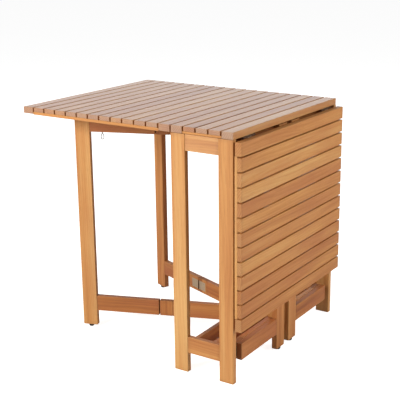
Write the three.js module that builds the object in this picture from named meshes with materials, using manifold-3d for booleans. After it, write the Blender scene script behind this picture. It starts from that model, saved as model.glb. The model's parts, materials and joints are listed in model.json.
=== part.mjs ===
// Slatted drop-leaf garden table. The left leaf is raised on two bi-fold gates, the right leaf
// hangs in front of its own two folded gates. Millimetres, +Z up. X runs across the leaves,
// Y runs along the boards. The model is built about the middle of the fixed frame, and the last
// lines move it so that the origin is under the middle of the whole table, on the floor.
import * as THREE from 'three';
import { mergeVertices } from 'three/addons/utils/BufferGeometryUtils.js';
import Module from 'manifold-3d';

const wasm = await Module();
wasm.setup();

// ---- Driving dimensions ----
const HEIGHT = 740;              // floor to the top face of the boards
const TOP_LENGTH = 634;          // along the boards
const CENTRE_WIDTH = 204;        // fixed middle of the top
const LEAF_WIDTH = 548;
const BOARD_GAP = 4.5;           // between neighbouring boards
const LEAF_BOARDS = 13;          // the first and the last are the thick edge boards
const CENTRE_BOARDS = 5;
const EDGE_THICK = 20.5;         // thick edge boards
const SLAT_THICK = 13.5;         // thin boards between them
const LEAF_GAP = 4;              // between the centre and a raised leaf
const FIT = 0.3;                 // clearance between neighbouring pieces

const LEG_WIDTH = 47;
const LEG_THICK = 17;
const LEG_PROUD = 1.5;           // legs stand this far past the board ends
const RAIL_THICK = 15;           // rails of the end frames
const TOP_RAIL_HEIGHT = 47;
const LOW_RAIL = [62, 113];      // bottom and top of the end frames' lower rail
const STRETCHER = { thick: 14, offset: 31, low: 59, high: 112 };

const GATE = {
  pivotX: 75,                    // pivots, from the table's middle planes
  pivotY: 36,
  inner: 238,                    // pivot to elbow
  outer: 236,                    // elbow to the middle of the foot stile
  thick: 18,
  pivotStile: 40,
  footStile: 48,
  lowRail: [59, 110],
  highRail: [656, 708],
  footTop: 717,
  footLow: 8,
  fan: 20.5,                     // degrees from the X axis when a gate is open
  elbowSlit: 3,                  // between the two boards at the elbow
  faceGap: 0.7,                  // between the two layers when folded
};

const PIVOT_PIN = { radius: 4, depth: 20 };
const BEARER = { halfX: 83, halfY: 50, low: 41 };
const BATTEN = { end: 38, middle: 45, middleY: 195, setBack: 1, leafDrop: 2 };
const LEAF_HINGE = { y: 238, length: 66, width: 25, plate: 1.4, barrel: 2.7, pin: 1.2, drop: 3 };
const ELBOW_HINGE = { length: 27, barrel: 2.6, pin: 1.2 };
const BORE_PLAY = 0.3;           // radial play of a pin in its bore
const GLIDE = { radius: 8.5, height: 7.7 };
const EYE = { fromElbow: 173, wire: 1.1, halfWidth: 5, halfHeight: 9, neck: 3.5 };

// ---- Heights and places worked out from them ----
const edgeLow = HEIGHT - EDGE_THICK;
const slatLow = HEIGHT - SLAT_THICK;
const battenHigh = slatLow - FIT;
const leafBattenLow = edgeLow - BATTEN.leafDrop;
const axisZ = edgeLow - LEAF_HINGE.drop;
const axisX = CENTRE_WIDTH / 2 + LEAF_GAP / 2;
const halfLength = TOP_LENGTH / 2;
const legFace = halfLength + LEG_PROUD;
const frameTop = edgeLow - FIT;
const railBack = legFace - LEG_THICK / 2 - RAIL_THICK / 2;
const elbowOffset = GATE.thick / 2 + GATE.faceGap / 2;

// ---- Materials ----
function finish(color, roughness, metalness) {
  return new THREE.MeshStandardMaterial({ color, roughness, metalness });
}

const topBoard = finish(0xc9a58c, 0.55, 0);
const leafBoard = finish(0xc8874a, 0.5, 0);
const frameTimber = finish(0xd9985a, 0.5, 0);
const gateTimber = finish(0xb97848, 0.55, 0);
const steel = finish(0x9a9a96, 0.35, 1);
const glidePlastic = finish(0x171615, 0.6, 0);

// ---- Solids ----
function toSolid(geometry) {
  const bare = geometry.clone();
  bare.deleteAttribute('normal');
  bare.deleteAttribute('uv');
  const merged = mergeVertices(bare, 1e-4);
  return new wasm.Manifold(new wasm.Mesh({
    numProp: 3,
    vertProperties: merged.attributes.position.array,
    triVerts: Uint32Array.from(merged.index.array),
  }));
}

function toGeometry(solid) {
  const { vertProperties, triVerts } = solid.getMesh();
  const geometry = new THREE.BufferGeometry();
  geometry.setAttribute('position', new THREE.BufferAttribute(vertProperties, 3));
  geometry.setIndex(new THREE.BufferAttribute(triVerts, 1));
  return geometry;
}

// A board between two corners, given as a pair of limits along each axis.
function board([x0, x1], [y0, y1], [z0, z1]) {
  const geometry = new THREE.BoxGeometry(x1 - x0, y1 - y0, z1 - z0);
  geometry.translate((x0 + x1) / 2, (y0 + y1) / 2, (z0 + z1) / 2);
  return geometry;
}

function solidBoard(x, y, z) {
  return toSolid(board(x, y, z));
}

// Limits along X on the side that sign points to, given from the inside outwards.
function toSide(sign, near, far) {
  return sign > 0 ? [near, far] : [-far, -near];
}

function uprightRod(radius, x, y, [z0, z1]) {
  const geometry = new THREE.CylinderGeometry(radius, radius, z1 - z0, 20);
  geometry.rotateX(Math.PI / 2);
  geometry.translate(x, y, (z0 + z1) / 2);
  return toSolid(geometry);
}

function lengthwiseRod(radius, x, z, [y0, y1]) {
  const geometry = new THREE.CylinderGeometry(radius, radius, y1 - y0, 20);
  geometry.translate(x, (y0 + y1) / 2, z);
  return toSolid(geometry);
}

function joined(solids) {
  return solids.reduce((sum, solid) => sum.add(solid));
}

function cut(solid, cutters) {
  return cutters.reduce((rest, cutter) => rest.subtract(cutter), solid);
}

function piece(name, shape, material) {
  const geometry = shape.isBufferGeometry ? shape : toGeometry(shape);
  geometry.computeVertexNormals();
  const mesh = new THREE.Mesh(geometry, material);
  mesh.name = name;
  return mesh;
}

// ---- Top boards ----
// Left and right limits of each board in a row of boards that starts at x = start.
function boardRow(start, width, count) {
  const boardWidth = (width - (count - 1) * BOARD_GAP) / count;
  const pitch = boardWidth + BOARD_GAP;
  return Array.from({ length: count }, (_, i) => [start + i * pitch, start + i * pitch + boardWidth]);
}

const endBattenOuter = halfLength - BATTEN.setBack;
const battenRows = [
  [-endBattenOuter, -endBattenOuter + BATTEN.end],
  [-BATTEN.middleY - BATTEN.middle / 2, -BATTEN.middleY + BATTEN.middle / 2],
  [BATTEN.middleY - BATTEN.middle / 2, BATTEN.middleY + BATTEN.middle / 2],
  [endBattenOuter - BATTEN.end, endBattenOuter],
];

// Two edge boards joined by battens, as one glued and screwed frame. Heights are from zero.
function topFrame(rows, zero, battenLow) {
  const along = [-halfLength, halfLength];
  const edge = [edgeLow - zero, HEIGHT - zero];
  const first = rows[0];
  const last = rows[rows.length - 1];
  const bite = 3;
  const span = [Math.min(first[1], last[1]) - bite, Math.max(first[0], last[0]) + bite];
  const battens = battenRows.map((y) => solidBoard(span, y, [battenLow - zero, battenHigh - zero]));
  return joined([solidBoard(first, along, edge), solidBoard(last, along, edge), ...battens]);
}

function slat(name, x, zero, material) {
  const z = [slatLow - zero, HEIGHT - zero];
  return piece(name, board(x, [-halfLength, halfLength], z), material);
}

function centreTop() {
  const rows = boardRow(-CENTRE_WIDTH / 2, CENTRE_WIDTH, CENTRE_BOARDS);
  const slats = rows.slice(1, -1).map((x, i) => slat(`centre_slat_${i + 1}`, x, 0, topBoard));
  return [piece('centre_frame', topFrame(rows, 0, edgeLow), topBoard), ...slats];
}

// ---- Leaf hinges: flat butt hinges under the edge boards ----
// The barrel is in three parts. The fixed half has the outer two and the pin.
const third = LEAF_HINGE.length / 6;
const hingeParts = {
  ends: [[-3 * third, -third], [third, 3 * third]],
  middle: [[-third, third]],
};

function hingeHalf(sign, y, parts, withPin) {
  const top = LEAF_HINGE.drop - FIT;
  const plateZ = [top - LEAF_HINGE.plate, top];
  const clear = LEAF_HINGE.barrel + FIT;
  const whole = [y - LEAF_HINGE.length / 2, y + LEAF_HINGE.length / 2];
  const solids = [solidBoard(toSide(sign, clear, LEAF_HINGE.width), whole, plateZ)];
  for (const [low, high] of parts) {
    const span = [y + low + FIT / 2, y + high - FIT / 2];
    solids.push(solidBoard(toSide(sign, 0, clear + 1), span, plateZ));
    solids.push(lengthwiseRod(LEAF_HINGE.barrel, 0, 0, span));
  }
  const half = joined(solids);
  const pinSpan = [whole[0] + 1, whole[1] - 1];
  if (withPin) return half.add(lengthwiseRod(LEAF_HINGE.pin, 0, 0, pinSpan));
  return cut(half, [lengthwiseRod(LEAF_HINGE.pin + BORE_PLAY, 0, 0, whole)]);
}

function hingeEnds() {
  return [['front', -LEAF_HINGE.y], ['rear', LEAF_HINGE.y]];
}

// A leaf in its own group at the hinge axis, reaching to the side that sign points to.
function leaf(side, sign, dropAngle, material) {
  const group = new THREE.Group();
  group.position.set(sign * axisX, 0, axisZ);
  group.rotation.y = dropAngle;
  const rows = boardRow(LEAF_GAP / 2, LEAF_WIDTH, LEAF_BOARDS).map((x) => toSide(sign, ...x));
  group.add(piece(`${side}_leaf_frame`, topFrame(rows, axisZ, leafBattenLow), material));
  rows.slice(1, -1).forEach((x, i) => {
    const number = String(i + 1).padStart(2, '0');
    group.add(slat(`${side}_leaf_slat_${number}`, x, axisZ, material));
  });
  for (const [end, y] of hingeEnds()) {
    const half = hingeHalf(sign, y, hingeParts.middle, false);
    group.add(piece(`${side}_${end}_hinge_leaf_half`, half, steel));
  }
  return group;
}

function fixedHinges(side, sign) {
  const group = new THREE.Group();
  group.position.set(sign * axisX, 0, axisZ);
  for (const [end, y] of hingeEnds()) {
    const half = hingeHalf(-sign, y, hingeParts.ends, true);
    group.add(piece(`${side}_${end}_hinge_fixed_half`, half, steel));
  }
  return group;
}

// ---- Fixed base ----
function endFrame(name, sign) {
  const yBetween = (near, far) => toSide(sign, near, far);
  const legY = yBetween(legFace - LEG_THICK, legFace);
  const railY = yBetween(railBack, railBack + RAIL_THICK);
  const outer = CENTRE_WIDTH / 2;
  const bite = 5;
  const railX = [-(outer - LEG_WIDTH + bite), outer - LEG_WIDTH + bite];
  return piece(name, joined([
    solidBoard([-outer, -outer + LEG_WIDTH], legY, [0, frameTop]),
    solidBoard([outer - LEG_WIDTH, outer], legY, [0, frameTop]),
    solidBoard(railX, railY, [frameTop - TOP_RAIL_HEIGHT, frameTop]),
    solidBoard(railX, railY, LOW_RAIL),
  ]), frameTimber);
}

function stretcher(name, sign) {
  const near = STRETCHER.offset - STRETCHER.thick / 2;
  const x = toSide(sign, near, near + STRETCHER.thick);
  const reach = railBack - FIT;
  return piece(name, board(x, [-reach, reach], [STRETCHER.low, STRETCHER.high]), frameTimber);
}

const pivots = [-1, 1].flatMap((sx) => [-1, 1].map((sy) => [sx * GATE.pivotX, sy * GATE.pivotY]));

// A bearer across the middle, with the four pivot pins that the gates turn on.
function bearer(name, z, pinZ) {
  const block = solidBoard([-BEARER.halfX, BEARER.halfX], [-BEARER.halfY, BEARER.halfY], z);
  const pins = pivots.map(([x, y]) => uprightRod(PIVOT_PIN.radius, x, y, pinZ));
  return piece(name, joined([block, ...pins]), frameTimber);
}

function base() {
  const low = GATE.lowRail[0] - FIT;
  const high = GATE.highRail[1] + FIT;
  return [
    endFrame('front_end_frame', -1),
    endFrame('rear_end_frame', 1),
    stretcher('left_stretcher', -1),
    stretcher('right_stretcher', 1),
    bearer('lower_pivot_bearer', [BEARER.low, low], [low - 2, low + PIVOT_PIN.depth]),
    bearer('upper_pivot_bearer', [high, frameTop], [high - PIVOT_PIN.depth, high + 2]),
  ];
}

// ---- Gates ----
// A gate lies along +X from its pivot, with its thickness along Y and the elbow hinges on the
// face that hand points to.
const elbowRails = [GATE.lowRail, GATE.highRail];

function elbowRods(hand, radius, parts, spare) {
  return elbowRails.flatMap(([low, high]) => parts.map(([from, to]) => {
    const middle = (low + high) / 2;
    const z = [middle + from - spare, middle + to + spare];
    return uprightRod(radius, GATE.inner, hand * elbowOffset, z);
  }));
}

const elbowThird = ELBOW_HINGE.length / 6;
const elbowParts = {
  ends: [[-3 * elbowThird, -elbowThird], [elbowThird, 3 * elbowThird]],
  middle: [[-elbowThird, elbowThird]],
  whole: [[-3 * elbowThird, 3 * elbowThird]],
};
const gateY = [-GATE.thick / 2, GATE.thick / 2];

function gateInner(hand) {
  const stile = GATE.pivotStile / 2;
  const railX = [stile - 5, GATE.inner - GATE.elbowSlit / 2];
  const bore = PIVOT_PIN.radius + BORE_PLAY;
  const [low, high] = [GATE.lowRail[0], GATE.highRail[1]];
  const timber = joined([
    solidBoard([-stile, stile], gateY, [low, high]),
    solidBoard(railX, gateY, GATE.lowRail),
    solidBoard(railX, gateY, GATE.highRail),
  ]);
  const bored = cut(timber, [
    uprightRod(bore, 0, 0, [low - 1, low + PIVOT_PIN.depth + 1]),
    uprightRod(bore, 0, 0, [high - PIVOT_PIN.depth - 1, high + 1]),
    ...elbowRods(hand, ELBOW_HINGE.barrel + FIT, elbowParts.middle, FIT / 2),
  ]);
  return joined([
    bored,
    ...elbowRods(hand, ELBOW_HINGE.barrel, elbowParts.ends, -FIT / 2),
    ...elbowRods(hand, ELBOW_HINGE.pin, elbowParts.whole, -1),
  ]);
}

function gateOuter(hand) {
  const footNear = GATE.inner + GATE.outer - GATE.footStile / 2;
  const railX = [GATE.inner + GATE.elbowSlit / 2, footNear + 5];
  const timber = joined([
    solidBoard([footNear, footNear + GATE.footStile], gateY, [GATE.footLow, GATE.footTop]),
    solidBoard(railX, gateY, GATE.lowRail),
    solidBoard(railX, gateY, GATE.highRail),
  ]);
  const notched = cut(timber, elbowRods(hand, ELBOW_HINGE.barrel + FIT, elbowParts.ends, FIT / 2));
  const knuckled = joined([
    notched,
    ...elbowRods(hand, ELBOW_HINGE.barrel, elbowParts.middle, -FIT / 2),
  ]);
  return cut(knuckled, elbowRods(hand, ELBOW_HINGE.pin + BORE_PLAY, elbowParts.whole, 0));
}

// A domed foot: flat on top, rounded towards the floor.
function glideGeometry() {
  const { radius, height } = GLIDE;
  const flat = 0.55 * radius;
  const profile = [new THREE.Vector2(0, 0), new THREE.Vector2(flat, 0)];
  for (let i = 1; i <= 4; i += 1) {
    const turn = (i / 4) * (Math.PI / 2);
    const out = flat + (radius - flat) * Math.sin(turn);
    profile.push(new THREE.Vector2(out, 0.6 * height * (1 - Math.cos(turn))));
  }
  profile.push(new THREE.Vector2(radius, height), new THREE.Vector2(0, height));
  const geometry = new THREE.LatheGeometry(profile, 24);
  geometry.rotateX(Math.PI / 2);
  return geometry;
}

// A small wire eye under the upper rail, on a short neck.
function eyeSolid() {
  const top = GATE.highRail[0] - FIT;
  const centre = top - EYE.neck - EYE.halfHeight;
  const ring = new THREE.TorusGeometry(1, EYE.wire / EYE.halfWidth, 8, 24);
  ring.rotateX(Math.PI / 2);
  ring.scale(EYE.halfWidth, EYE.halfWidth, EYE.halfHeight);
  ring.translate(0, 0, centre);
  return toSolid(ring).add(uprightRod(EYE.wire, 0, 0, [centre + EYE.halfHeight - 1, top]));
}

function gate(corner, [x, y], direction, hand, folded) {
  const inner = new THREE.Group();
  inner.position.set(x, y, 0);
  inner.rotation.z = THREE.MathUtils.degToRad(direction);
  inner.add(piece(`${corner}_gate_inner`, gateInner(hand), gateTimber));
  const elbow = new THREE.Group();
  elbow.position.set(GATE.inner, hand * elbowOffset, 0);
  elbow.rotation.z = folded ? Math.PI : 0;
  inner.add(elbow);
  const outer = new THREE.Group();
  outer.position.set(-GATE.inner, -hand * elbowOffset, 0);
  elbow.add(outer);
  outer.add(piece(`${corner}_gate_outer`, gateOuter(hand), gateTimber));
  const glide = piece(`${corner}_glide`, glideGeometry(), glidePlastic);
  glide.position.x = GATE.inner + GATE.outer;
  const eye = piece(`${corner}_eye`, eyeSolid(), steel);
  eye.position.x = GATE.inner + EYE.fromElbow;
  outer.add(glide, eye);
  return inner;
}

function gates() {
  const { pivotX, pivotY, fan } = GATE;
  return [
    gate('left_front', [-pivotX, -pivotY], 180 + fan, -1, false),
    gate('left_rear', [-pivotX, pivotY], 180 - fan, 1, false),
    gate('right_front', [pivotX, -pivotY], -90, 1, true),
    gate('right_rear', [pivotX, pivotY], 90, -1, true),
  ];
}

// ---- The table ----
const table = new THREE.Group();
table.add(...centreTop(), ...base());
table.add(leaf('left', -1, 0, topBoard), leaf('right', 1, Math.PI / 2, leafBoard));
table.add(fixedHinges('left', -1), fixedHinges('right', 1), ...gates());

const leftEdge = -(axisX + LEAF_GAP / 2 + LEAF_WIDTH);
const rightEdge = axisX + HEIGHT - axisZ;
table.position.x = -(leftEdge + rightEdge) / 2;

const group = new THREE.Group();
group.add(table);
export default group;
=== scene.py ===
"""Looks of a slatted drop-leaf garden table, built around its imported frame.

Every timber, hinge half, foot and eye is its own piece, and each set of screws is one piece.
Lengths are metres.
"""
import json
import math
import random
import typing

import bmesh
import bpy
from mathutils import Matrix, Vector


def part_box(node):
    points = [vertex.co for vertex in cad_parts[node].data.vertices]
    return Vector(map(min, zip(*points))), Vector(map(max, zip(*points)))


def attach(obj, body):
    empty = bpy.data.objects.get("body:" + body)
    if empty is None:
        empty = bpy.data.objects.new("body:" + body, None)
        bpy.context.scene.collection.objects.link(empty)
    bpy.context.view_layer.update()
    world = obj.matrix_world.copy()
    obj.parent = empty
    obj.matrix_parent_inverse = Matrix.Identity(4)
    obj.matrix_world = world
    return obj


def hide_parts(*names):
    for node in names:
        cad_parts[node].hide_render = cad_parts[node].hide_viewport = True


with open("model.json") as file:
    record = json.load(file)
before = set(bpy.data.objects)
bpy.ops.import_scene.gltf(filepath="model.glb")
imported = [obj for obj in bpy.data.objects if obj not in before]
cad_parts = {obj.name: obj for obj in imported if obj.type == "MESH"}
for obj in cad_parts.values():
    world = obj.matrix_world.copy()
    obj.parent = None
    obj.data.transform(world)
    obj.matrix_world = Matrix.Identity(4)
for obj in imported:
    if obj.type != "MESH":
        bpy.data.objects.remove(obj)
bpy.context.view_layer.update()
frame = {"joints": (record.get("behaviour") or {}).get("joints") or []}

bl_info = {
    "name": "Drop-leaf Garden Table",
    "version": (1, 0, 0),
    "blender": (4, 5, 0),
    "location": "View3D > Sidebar > Garden Table",
    "description": "Builds the timbers, hardware and studio of a gateleg garden table",
    "category": "Add Mesh",
}

MM = 0.001
X, Y, Z = Vector((1, 0, 0)), Vector((0, 1, 0)), Vector((0, 0, 1))
CORNERS = ("left_front", "left_rear", "right_front", "right_rear")
JOINTS = {joint["name"]: joint for joint in frame["joints"]}
# Screws in a hinge plate, as shares of its width from the pin and of its length from the middle.
LEAF_HINGE_HOLES = ((0.45, -0.36), (0.72, 0.0), (0.45, 0.36))
ELBOW_HINGE_HOLES = ((0.32, 0.28), (0.32, -0.28), (0.78, 0.28), (0.78, -0.28))
ELBOW_SCREW_SINK = 0.15 * MM
KNUCKLE_EASING = 0.25 * MM
KNUCKLE_GAP = 0.15 * MM  # at each end of a knuckle
PLATE_GAP = 0.6 * MM  # between a barrel and the plate beside it


# ---------------------------------------------------------------- settings


def length(name, description, millimetres):
    """A length property, stored in metres."""
    return bpy.props.FloatProperty(
        name=name, description=description, default=millimetres * MM,
        min=0.0, precision=5, subtype="DISTANCE", unit="LENGTH")


def colour(name, description, default):
    """A colour property, as linear red, green and blue."""
    return bpy.props.FloatVectorProperty(
        name=name, description=description, default=default,
        min=0.0, max=1.0, size=3, subtype="COLOR")


class TimberSettings(bpy.types.PropertyGroup):
    """Sizes and colours of the boards."""

    arris: length("Arris", "Radius that the sharp edges are eased to", 1.5)
    leg_width: length("Leg width", "Wide face of an end frame's leg", 47)
    leg_thick: length("Leg thickness", "Thickness of an end frame's leg", 17)
    rail_thick: length("Rail thickness", "Thickness of an end frame's rail", 15)
    top_rail: length("Top rail", "Height of an end frame's top rail", 47)
    low_rail_bottom: length("Lower rail bottom", "Height of its underside", 62)
    low_rail_top: length("Lower rail top", "Height of its top edge", 113)
    batten_end: length("End batten", "Width of the battens at the board ends", 38)
    batten_middle: length("Middle batten", "Width of the battens that the gates bear on", 45)
    batten_middle_y: length("Middle batten place", "Distance from the middle of the top", 195)
    batten_set_back: length("Batten set-back", "End battens stop short of the board ends", 1)
    gate_thick: length("Gate thickness", "Thickness of the gates' timber", 18)
    gate_rail: length("Gate rail height", "Height of a gate's rails", 51)
    pivot_stile: length("Pivot stile", "Width of a gate's hidden stile", 40)
    foot_stile: length("Foot stile", "Width of a gate's outer stile", 48)
    elbow_block: length("Elbow block", "Upright-grained block where the rail ends", 42)
    elbow_slit: length("Elbow slit", "Gap between the two rails at a gate's elbow", 3)
    seam: length("Seam", "Dark line left between glued boards", 0.25)
    board_fit: length("Fit", "Clearance between a batten and the slats on it", 0.3)
    straw: colour("Straw", "Palest streaks of the sapwood", (0.66, 0.385, 0.140))
    honey: colour("Honey", "Main colour of the wood", (0.555, 0.250, 0.073))
    amber: colour("Amber", "Darker streaks", (0.40, 0.142, 0.036))
    umber: colour("Umber", "Darkest late wood and pores", (0.19, 0.058, 0.018))
    heart: colour("Heartwood", "Red brown of boards cut near the heart", (0.40, 0.128, 0.044))
    ring_pitch: length("Ring pitch", "Distance between growth rings", 5.5)


class HardwareSettings(bpy.types.PropertyGroup):
    """Sizes and colours of the metal and plastic."""

    zinc: colour("Zinc", "Plated steel of screws, pins and eyes", (0.34, 0.325, 0.29))
    brassy: colour("Hinge steel", "Yellowed plating of the hinges", (0.56, 0.43, 0.29))
    # Grease and painted shade: the hinges are darkened round their barrels, where the seam lies in
    # shade.
    grease_and_shade_colour: colour("Grease And Shade", "Dark film round the hinges' barrels", (0.080, 0.030, 0.014))
    plastic: colour("Foot plastic", "Round feet", (0.018, 0.017, 0.016))
    screw_head: length("Screw head", "Radius of a countersunk head", 3.4)
    hinge_screw: length("Hinge screw head", "Radius, on the leaf hinges", 2.89)
    elbow_screw: length("Elbow screw head", "Radius, on the elbow hinges", 2.04)
    play: length("Play", "Clearance round a pin or a barrel", 0.3)
    hinge_length: length("Leaf hinge length", "Along the barrel", 66)
    hinge_width: length("Leaf hinge leaf", "From the pin to the leaf's edge", 25)
    hinge_plate: length("Leaf hinge plate", "Thickness of the plate", 1.4)
    hinge_barrel: length("Leaf hinge barrel", "Radius of the barrel", 2.7)
    elbow_length: length("Elbow hinge length", "Along its barrel", 31)
    elbow_width: length("Elbow hinge leaf", "From the pin to the leaf's edge", 38)
    elbow_barrel: length("Elbow hinge barrel", "Radius of the barrel", 2.2)
    elbow_plate: length("Elbow hinge plate", "Thickness of the plate", 1.1)
    elbow_proud: length("Elbow hinge proud", "The plate stands this far out of the wood", 0.1)
    elbow_stand_off: length("Elbow pin stand-off", "From the gate's face to the pin", 0.35)
    pivot_pin: length("Pivot pin", "Radius of the pins that the gates turn on", 4)
    pivot_depth: length("Pivot pin depth", "How far a pin goes into its stile", 20)
    wire: length("Eye wire", "Radius of the eye's wire", 1.25)
    eye_half_width: length("Eye half width", "From the middle to the wire's centre", 5.2)


class StudioSettings(bpy.types.PropertyGroup):
    """Floor, lights and camera."""

    floor: colour("Floor", "Pale floor", (0.88, 0.88, 0.88))
    floor_glow: bpy.props.FloatProperty(
        name="Floor glow", description="Added brightness that only the camera sees",
        default=0.82, min=0.0)
    sky: bpy.props.FloatProperty(
        name="Sky", description="Strength of the even light", default=0.16, min=0.0)
    backdrop: bpy.props.FloatProperty(
        name="Backdrop", description="Brightness of the empty background", default=1.0, min=0.0)
    key: bpy.props.FloatProperty(
        name="Key light", description="Power of the front light", default=160.0,
        min=0.0, unit="POWER")
    fill: bpy.props.FloatProperty(
        name="Fill light", description="Power of the side light", default=72.0,
        min=0.0, unit="POWER")
    rim: bpy.props.FloatProperty(
        name="Back light", description="Power of the low light behind, for sheen on the top",
        default=50.0, min=0.0, unit="POWER")
    focal: bpy.props.FloatProperty(
        name="Focal length", description="Camera lens on a 36 mm sensor", default=83.35,
        min=1.0, unit="CAMERA")
    camera_place: bpy.props.FloatVectorProperty(
        name="Camera place", description="Where the camera stands",
        default=(1.63035, -2.3763, 1.2517), size=3, subtype="TRANSLATION", unit="LENGTH")
    camera_tilt: bpy.props.FloatProperty(
        name="Camera tilt", description="Angle up from looking straight down",
        default=math.radians(74.286), subtype="ANGLE", unit="ROTATION")
    camera_turn: bpy.props.FloatProperty(
        name="Camera turn", description="Angle to the left of +Y",
        default=math.radians(31.333), subtype="ANGLE", unit="ROTATION")
    camera_shift: bpy.props.FloatVectorProperty(
        name="Camera shift", description="Lens shift, as shares of the picture's width",
        default=(-0.0921, -0.0158), size=2)


# ---------------------------------------------------------------- meshes


def place_matrix(origin, along, across):
    """Local X runs along, local Y across, local Z is their cross product."""
    along, across = Vector(along).normalized(), Vector(across).normalized()
    axes = Matrix((along, across, along.cross(across))).transposed()
    return Matrix.Translation(origin) @ axes.to_4x4()


def rounded_box(size, radius, segments=3):
    """A box about its centre with eased edges, as a bmesh."""
    bm = bmesh.new()
    bmesh.ops.create_cube(bm, size=1.0)
    bmesh.ops.scale(bm, vec=size, verts=bm.verts)
    if radius > 0:
        bmesh.ops.bevel(
            bm, geom=bm.edges[:], offset=radius, segments=segments, profile=0.5, affect="EDGES")
    return bm


def lathe(profile, sides=32):
    """A closed solid of revolution about Z from (radius, height) points, as a bmesh."""
    bm = bmesh.new()
    rings = []
    for radius, height in profile:
        if radius == 0:
            rings.append([bm.verts.new((0, 0, height))])
            continue
        turns = (2 * math.pi * i / sides for i in range(sides))
        rings.append([bm.verts.new((radius * math.cos(a), radius * math.sin(a), height))
                      for a in turns])
    for low, high in zip(rings, rings[1:]):
        for i in range(sides):
            j = (i + 1) % sides
            around = [low[i % len(low)], low[j % len(low)],
                      high[j % len(high)], high[i % len(high)]]
            corners = list(dict.fromkeys(around))
            if len(corners) > 2:
                bm.faces.new(corners)
    bmesh.ops.recalc_face_normals(bm, faces=bm.faces[:])
    return bm


def tube(points, radius, sides=10, closed=False):
    """A round wire through the points, as a bmesh with closed ends."""
    bm = bmesh.new()
    count = len(points)
    rings, across = [], None
    for i, point in enumerate(points):
        before = points[(i - 1) % count] if closed or i else point
        after = points[(i + 1) % count] if closed or i < count - 1 else point
        ahead = (Vector(after) - Vector(before)).normalized()
        if across is None:
            across = ahead.orthogonal()
        across = (across - across.project(ahead)).normalized()
        other = ahead.cross(across)
        ring = []
        for k in range(sides):
            turn = 2 * math.pi * k / sides
            offset = radius * (math.cos(turn) * across + math.sin(turn) * other)
            ring.append(bm.verts.new(Vector(point) + offset))
        rings.append(ring)
    pairs = list(zip(rings, rings[1:])) + ([(rings[-1], rings[0])] if closed else [])
    for low, high in pairs:
        for k in range(sides):
            j = (k + 1) % sides
            bm.faces.new((low[k], low[j], high[j], high[k]))
    if not closed:
        bm.faces.new(rings[0][::-1])
        bm.faces.new(rings[-1])
    bmesh.ops.recalc_face_normals(bm, faces=bm.faces[:])
    return bm


def merged(parts):
    """One bmesh from (bmesh, matrix) pairs. The parts are freed."""
    whole = bmesh.new()
    for part, matrix in parts:
        mesh = bpy.data.meshes.new("part")
        part.to_mesh(mesh)
        part.free()
        mesh.transform(matrix)
        whole.from_mesh(mesh)
        bpy.data.meshes.remove(mesh)
    return whole


def with_cuts(bm, cutters):
    """The bmesh less each cutter, which is a (bmesh, matrix) pair."""
    mesh = bpy.data.meshes.new("cut")
    bm.to_mesh(mesh)
    bm.free()
    body = bpy.data.objects.new("cut", mesh)
    bpy.context.scene.collection.objects.link(body)
    made = [body]
    for cutter, matrix in cutters:
        tool_mesh = bpy.data.meshes.new("cutter")
        cutter.to_mesh(tool_mesh)
        cutter.free()
        tool_mesh.transform(matrix)
        tool = bpy.data.objects.new("cutter", tool_mesh)
        bpy.context.scene.collection.objects.link(tool)
        boolean = body.modifiers.new("cut", "BOOLEAN")
        boolean.operation = "DIFFERENCE"
        boolean.solver = "EXACT"
        boolean.object = tool
        made.append(tool)
    bpy.context.view_layer.update()
    evaluated = body.evaluated_get(bpy.context.evaluated_depsgraph_get())
    result = bmesh.new()
    result.from_mesh(evaluated.to_mesh())
    evaluated.to_mesh_clear()
    for thing in made:
        data = thing.data
        bpy.data.objects.remove(thing)
        bpy.data.meshes.remove(data)
    return result


def finished(name, bm, matrix, body, material, replaces=()):
    """Turns a bmesh into a piece that rides on a body."""
    mesh = bpy.data.meshes.new(name)
    bm.to_mesh(mesh)
    bm.free()
    mesh.shade_smooth()
    mesh.set_sharp_from_angle(angle=math.radians(38))
    mesh.materials.append(material)
    piece = bpy.data.objects.new(name, mesh)
    piece.matrix_world = matrix
    bpy.context.scene.collection.objects.link(piece)
    even = piece.modifiers.new("even_shading", "WEIGHTED_NORMAL")
    even.keep_sharp = True
    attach(piece, body)
    if replaces:
        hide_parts(*replaces)
    return piece


def note_board(mesh, half, tone, warmth, seed):
    """Stores on each point its place in the board, the board's half size and its own character."""
    count = len(mesh.vertices)
    place = mesh.attributes.new("place", "FLOAT_VECTOR", "POINT")
    place.data.foreach_set("vector", [c for vertex in mesh.vertices for c in vertex.co])
    size = mesh.attributes.new("half", "FLOAT_VECTOR", "POINT")
    size.data.foreach_set("vector", list(half) * count)
    board = mesh.attributes.new("board", "FLOAT_VECTOR", "POINT")
    board.data.foreach_set("vector", [tone, warmth, seed] * count)


def timber(name, low, high, grain, face, body, finish, replaces, turn=None, cuts=(), arris=None):
    """One board between two corners. grain and face are the letters of the axes that the grain
    and the board's width run along. turn places a board that isn't square to the room."""
    settings = bpy.context.scene.garden_table_timber
    low, high = Vector(low), Vector(high)
    axes = {"X": X, "Y": Y, "Z": Z}
    centre, extent = (low + high) / 2, high - low
    along, across = axes[grain], axes[face]
    through = along.cross(across)
    size = [abs(extent.dot(axis)) for axis in (along, across, through)]
    local = place_matrix(centre, along, across)
    radius = settings.arris if arris is None else arris
    bm = rounded_box(size, min(radius, min(size) * 0.4))
    if cuts:
        back = local.inverted()
        bm = with_cuts(bm, [(cutter, back @ matrix) for cutter, matrix in cuts])
    dice = random.Random(name)
    tone = dice.gauss(0.5, 0.17)
    warmth = min(max(dice.gauss(0.32, 0.22), 0.0), 1.0)
    matrix = (turn or Matrix.Identity(4)) @ local
    piece = finished(name, bm, matrix, body, timber_material(finish), replaces)
    note_board(piece.data, [s / 2 for s in size], min(max(tone, 0.0), 1.0), warmth, dice.random())


# ---------------------------------------------------------------- materials


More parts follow.
